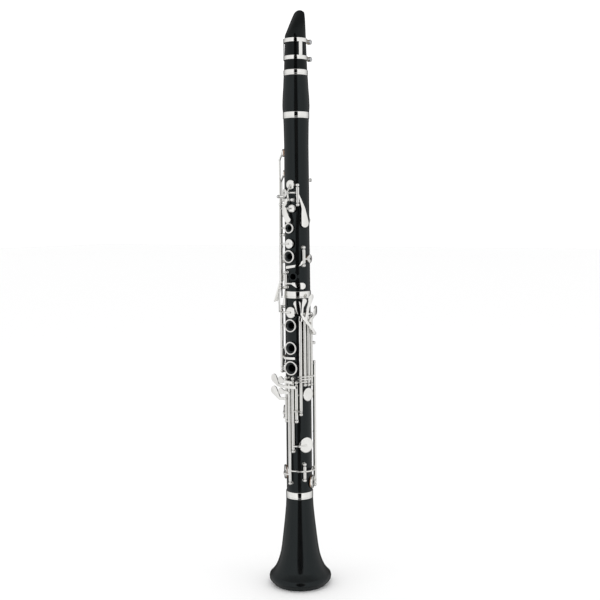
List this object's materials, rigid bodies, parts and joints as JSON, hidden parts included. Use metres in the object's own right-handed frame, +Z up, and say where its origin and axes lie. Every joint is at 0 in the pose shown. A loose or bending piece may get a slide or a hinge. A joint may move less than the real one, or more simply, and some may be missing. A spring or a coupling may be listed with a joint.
{
  "type": "clarinet",
  "caption": "Straight wooden clarinet with a single-reed mouthpiece, barrel, two keyed joints and a flared bell, with sprung metal keys, finger rings and padded cups.",
  "frame": {"origin": "on the bore's axis, in the plane of the bell's bottom face", "axes": "+Z up the bore towards the mouthpiece; the front finger holes face -Y; +X is the player's left"},
  "size_m": [0.0778, 0.0778, 0.708],
  "materials": {
    "wood": "oiled, satin gloss",
    "ebonite": "polished hard rubber",
    "silver": "polished silver plate",
    "steel": "polished steel",
    "cork": "cork",
    "cane": "cane",
    "pad": "fish-skin pad"
  },
  "bodies": {
    "body": {"upper_joint": "wood", "lower_joint": "wood", "tenon_corks": "cork", "socket_rings": "silver", "bell": "wood", "bushings": "silver", "thumb_rest": "silver", "thumb_rest_screws": "steel", "posts": "silver", "hinge_rods": "steel"},
    "head": {"barrel": "wood", "barrel_rings": "silver", "mouthpiece": "ebonite", "mouthpiece_cork": "cork", "reed": "cane", "ligature": "silver"},
    "screw_upper": {"ligature_screw_upper": "steel"},
    "screw_lower": {"ligature_screw_lower": "steel"},
    "register_key": {"register_key": "silver", "pad_register": "pad"},
    "throat_a_key": {"throat_a_key": "silver", "pad_throat_a": "pad"},
    "trill_key_high": {"trill_key_high": "silver", "pad_trill_high": "pad"},
    "trill_key_low": {"trill_key_low": "silver", "pad_trill_low": "pad"},
    "side_fsharp_key": {"side_fsharp_key": "silver", "pad_side_fsharp": "pad"},
    "side_eflat_key": {"side_eflat_key": "silver", "pad_side_eflat": "pad"},
    "throat_gsharp_key": {"throat_gsharp_key": "silver", "pad_throat_gsharp": "pad"},
    "left_sliver_key": {"left_sliver_key": "silver", "pad_left_sliver": "pad"},
    "csharp_gsharp_key": {"csharp_gsharp_key": "silver", "pad_csharp_gsharp": "pad"},
    "thumb_ring_key": {"thumb_ring_key": "silver"},
    "lh1_ring_key": {"lh1_ring_key": "silver", "pad_lh1": "pad"},
    "lh2_ring_key": {"lh2_ring_key": "silver", "pad_lh2": "pad"},
    "rh_ring_key": {"rh_ring_key": "silver", "pad_rh_ring": "pad"},
    "rh_sliver_key": {"rh_sliver_key": "silver", "pad_rh_sliver": "pad"},
    "rh_fc_key": {"rh_fc_key": "silver", "pad_rh_fc": "pad"},
    "rh_eb_key": {"rh_eb_key": "silver", "pad_rh_eb": "pad"},
    "rh_fsharp_key": {"rh_fsharp_key": "silver", "pad_rh_fsharp": "pad"},
    "rh_aflat_key": {"rh_aflat_key": "silver", "pad_rh_aflat": "pad"},
    "lh_fc_lever": {"lh_fc_lever": "silver"},
    "lh_fsharp_lever": {"lh_fsharp_lever": "silver"},
    "lh_aflat_lever": {"lh_aflat_lever": "silver"},
    "lh_eb_lever": {"lh_eb_lever": "silver"},
    "rocker": {"rocker": "silver"},
    "vent_key": {"vent_key": "silver", "pad_vent": "pad"}
  },
  "joints": [
    {"name": "barrel_pull", "type": "slide", "parent": "body", "child": "head", "axis": [0, 0, 1], "range_m": [0, 0.003]},
    {"name": "screw_upper_turn", "type": "hinge", "parent": "head", "child": "screw_upper", "pos_m": [0, 0.0152, 0.6699], "axis": [1, 0, 0], "continuous": true},
    {"name": "screw_lower_turn", "type": "hinge", "parent": "head", "child": "screw_lower", "pos_m": [0, 0.0152, 0.6494], "axis": [1, 0, 0], "continuous": true},
    {"name": "register_key_hinge", "type": "hinge", "parent": "body", "child": "register_key", "pos_m": [0, 0.0204, 0.504], "axis": [-1, 0, 0], "range_deg": [0, 4], "stiffness_Nm_per_rad": 0.02, "springref_deg": -12},
    {"name": "throat_a_key_hinge", "type": "hinge", "parent": "body", "child": "throat_a_key", "pos_m": [0.00072, -0.02049, 0.4795], "axis": [0.9994, 0.0349, 0], "range_deg": [0, 5], "stiffness_Nm_per_rad": 0.02, "springref_deg": -12},
    {"name": "trill_key_high_hinge", "type": "hinge", "parent": "body", "child": "trill_key_high", "pos_m": [-0.02226, -0.00254, 0.484], "axis": [0.1132, -0.9936, 0], "range_deg": [0, 1.9], "stiffness_Nm_per_rad": 0.02, "springref_deg": -12},
    {"name": "trill_key_low_hinge", "type": "hinge", "parent": "body", "child": "trill_key_low", "pos_m": [-0.02226, -0.00254, 0.484], "axis": [0.1132, -0.9936, 0], "range_deg": [0, 2.4], "stiffness_Nm_per_rad": 0.02, "springref_deg": -12},
    {"name": "side_fsharp_key_hinge", "type": "hinge", "parent": "body", "child": "side_fsharp_key", "pos_m": [-0.01987, 0.01034, 0.404], "axis": [-0.4617, -0.887, 0], "range_deg": [0, 3], "stiffness_Nm_per_rad": 0.02, "springref_deg": -12},
    {"name": "side_eflat_key_hinge", "type": "hinge", "parent": "body", "child": "side_eflat_key", "pos_m": [-0.01987, 0.01034, 0.404], "axis": [-0.4617, -0.887, 0], "range_deg": [0, 4], "stiffness_Nm_per_rad": 0.02, "springref_deg": -12},
    {"name": "throat_gsharp_key_hinge", "type": "hinge", "parent": "body", "child": "throat_gsharp_key", "pos_m": [0.01146, -0.01578, 0.48], "axis": [0, 0, 1], "range_deg": [0, 5], "stiffness_Nm_per_rad": 0.02, "springref_deg": -12},
    {"name": "left_sliver_key_hinge", "type": "hinge", "parent": "body", "child": "left_sliver_key", "pos_m": [0.01635, -0.01062, 0.41], "axis": [0, 0, -1], "range_deg": [0, 5], "stiffness_Nm_per_rad": 0.02, "springref_deg": -12},
    {"name": "csharp_gsharp_key_hinge", "type": "hinge", "parent": "body", "child": "csharp_gsharp_key", "pos_m": [-0.00532, -0.01855, 0.383], "axis": [0, 0, 1], "range_deg": [0, 9], "stiffness_Nm_per_rad": 0.02, "springref_deg": -12},
    {"name": "thumb_ring_key_hinge", "type": "hinge", "parent": "body", "child": "thumb_ring_key", "pos_m": [-0.01033, 0.01654, 0.458], "axis": [0, 0, -1], "range_deg": [0, 3.5], "stiffness_Nm_per_rad": 0.02, "springref_deg": -12},
    {"name": "lh1_ring_key_hinge", "type": "hinge", "parent": "body", "child": "lh1_ring_key", "pos_m": [-0.01792, -0.00953, 0.455], "axis": [0, 0, 1], "range_deg": [0, 3.5], "stiffness_Nm_per_rad": 0.02, "springref_deg": -12},
    {"name": "lh2_ring_key_hinge", "type": "hinge", "parent": "body", "child": "lh2_ring_key", "pos_m": [-0.01792, -0.00953, 0.405], "axis": [0, 0, 1], "range_deg": [0, 3.5], "stiffness_Nm_per_rad": 0.02, "springref_deg": -12},
    {"name": "rh_ring_key_hinge", "type": "hinge", "parent": "body", "child": "rh_ring_key", "pos_m": [-0.0163, -0.01141, 0.309], "axis": [0, 0, 1], "range_deg": [0, 3.5], "stiffness_Nm_per_rad": 0.02, "springref_deg": -12},
    {"name": "rh_sliver_key_hinge", "type": "hinge", "parent": "body", "child": "rh_sliver_key", "pos_m": [-0.01917, -0.00407, 0.2865], "axis": [0, 0, 1], "range_deg": [0, 3.5], "stiffness_Nm_per_rad": 0.02, "springref_deg": -12},
    {"name": "rh_fc_key_hinge", "type": "hinge", "parent": "body", "child": "rh_fc_key", "pos_m": [-0.00573, -0.01874, 0.235], "axis": [0, 0, -1], "range_deg": [0, 5], "stiffness_Nm_per_rad": 0.02, "springref_deg": -12},
    {"name": "rh_eb_key_hinge", "type": "hinge", "parent": "body", "child": "rh_eb_key", "pos_m": [-0.00103, -0.01957, 0.2], "axis": [0, 0, -1], "range_deg": [0, 5], "stiffness_Nm_per_rad": 0.02, "springref_deg": -12},
    {"name": "rh_fsharp_key_hinge", "type": "hinge", "parent": "body", "child": "rh_fsharp_key", "pos_m": [0.00374, -0.01924, 0.216], "axis": [0, 0, -1], "range_deg": [0, 5], "stiffness_Nm_per_rad": 0.02, "springref_deg": -12},
    {"name": "rh_aflat_key_hinge", "type": "hinge", "parent": "body", "child": "rh_aflat_key", "pos_m": [0.00828, -0.01776, 0.233], "axis": [0, 0, -1], "range_deg": [0, 5], "stiffness_Nm_per_rad": 0.02, "springref_deg": -12},
    {"name": "lh_fc_lever_hinge", "type": "hinge", "parent": "body", "child": "lh_fc_lever", "pos_m": [0.01291, -0.01475, 0.28], "axis": [0, 0, 1], "range_deg": [0, 6], "stiffness_Nm_per_rad": 0.02, "springref_deg": -12},
    {"name": "lh_fsharp_lever_hinge", "type": "hinge", "parent": "body", "child": "lh_fsharp_lever", "pos_m": [0.01644, -0.01068, 0.297], "axis": [0, 0, 1], "range_deg": [0, 5], "stiffness_Nm_per_rad": 0.02, "springref_deg": -12},
    {"name": "lh_aflat_lever_hinge", "type": "hinge", "parent": "body", "child": "lh_aflat_lever", "pos_m": [0.01864, -0.00606, 0.297], "axis": [0, 0, 1], "range_deg": [0, 4], "stiffness_Nm_per_rad": 0.02, "springref_deg": -12},
    {"name": "lh_eb_lever_hinge", "type": "hinge", "parent": "body", "child": "lh_eb_lever", "pos_m": [0.01957, -0.00103, 0.297], "axis": [0, 0, -1], "range_deg": [0, 2.5], "stiffness_Nm_per_rad": 0.02, "springref_deg": -12},
    {"name": "rocker_hinge", "type": "hinge", "parent": "body", "child": "rocker", "pos_m": [0.01565, -0.0118, 0.146], "axis": [0, 0, 1], "range_deg": [0, 6], "stiffness_Nm_per_rad": 0.02, "springref_deg": -12},
    {"name": "vent_key_hinge", "type": "hinge", "parent": "body", "child": "vent_key", "pos_m": [0.01364, 0.01463, 0.2], "axis": [0, 0, -1], "range_deg": [0, 5], "stiffness_Nm_per_rad": 0.02, "springref_deg": -12}
  ],
  "couplings": [
    {"joint": "thumb_ring_key_hinge", "follows": "lh1_ring_key_hinge", "ratio": 1},
    {"joint": "lh_fc_lever_hinge", "follows": "rh_fc_key_hinge", "ratio": 1.2},
    {"joint": "lh_fsharp_lever_hinge", "follows": "rh_fsharp_key_hinge", "ratio": 1},
    {"joint": "lh_aflat_lever_hinge", "follows": "rh_aflat_key_hinge", "ratio": 0.8},
    {"joint": "lh_eb_lever_hinge", "follows": "rh_eb_key_hinge", "ratio": 0.5},
    {"joint": "rocker_hinge", "follows": "rh_eb_key_hinge", "ratio": 1.2},
    {"joint": "vent_key_hinge", "follows": "rh_eb_key_hinge", "ratio": 1}
  ]
}
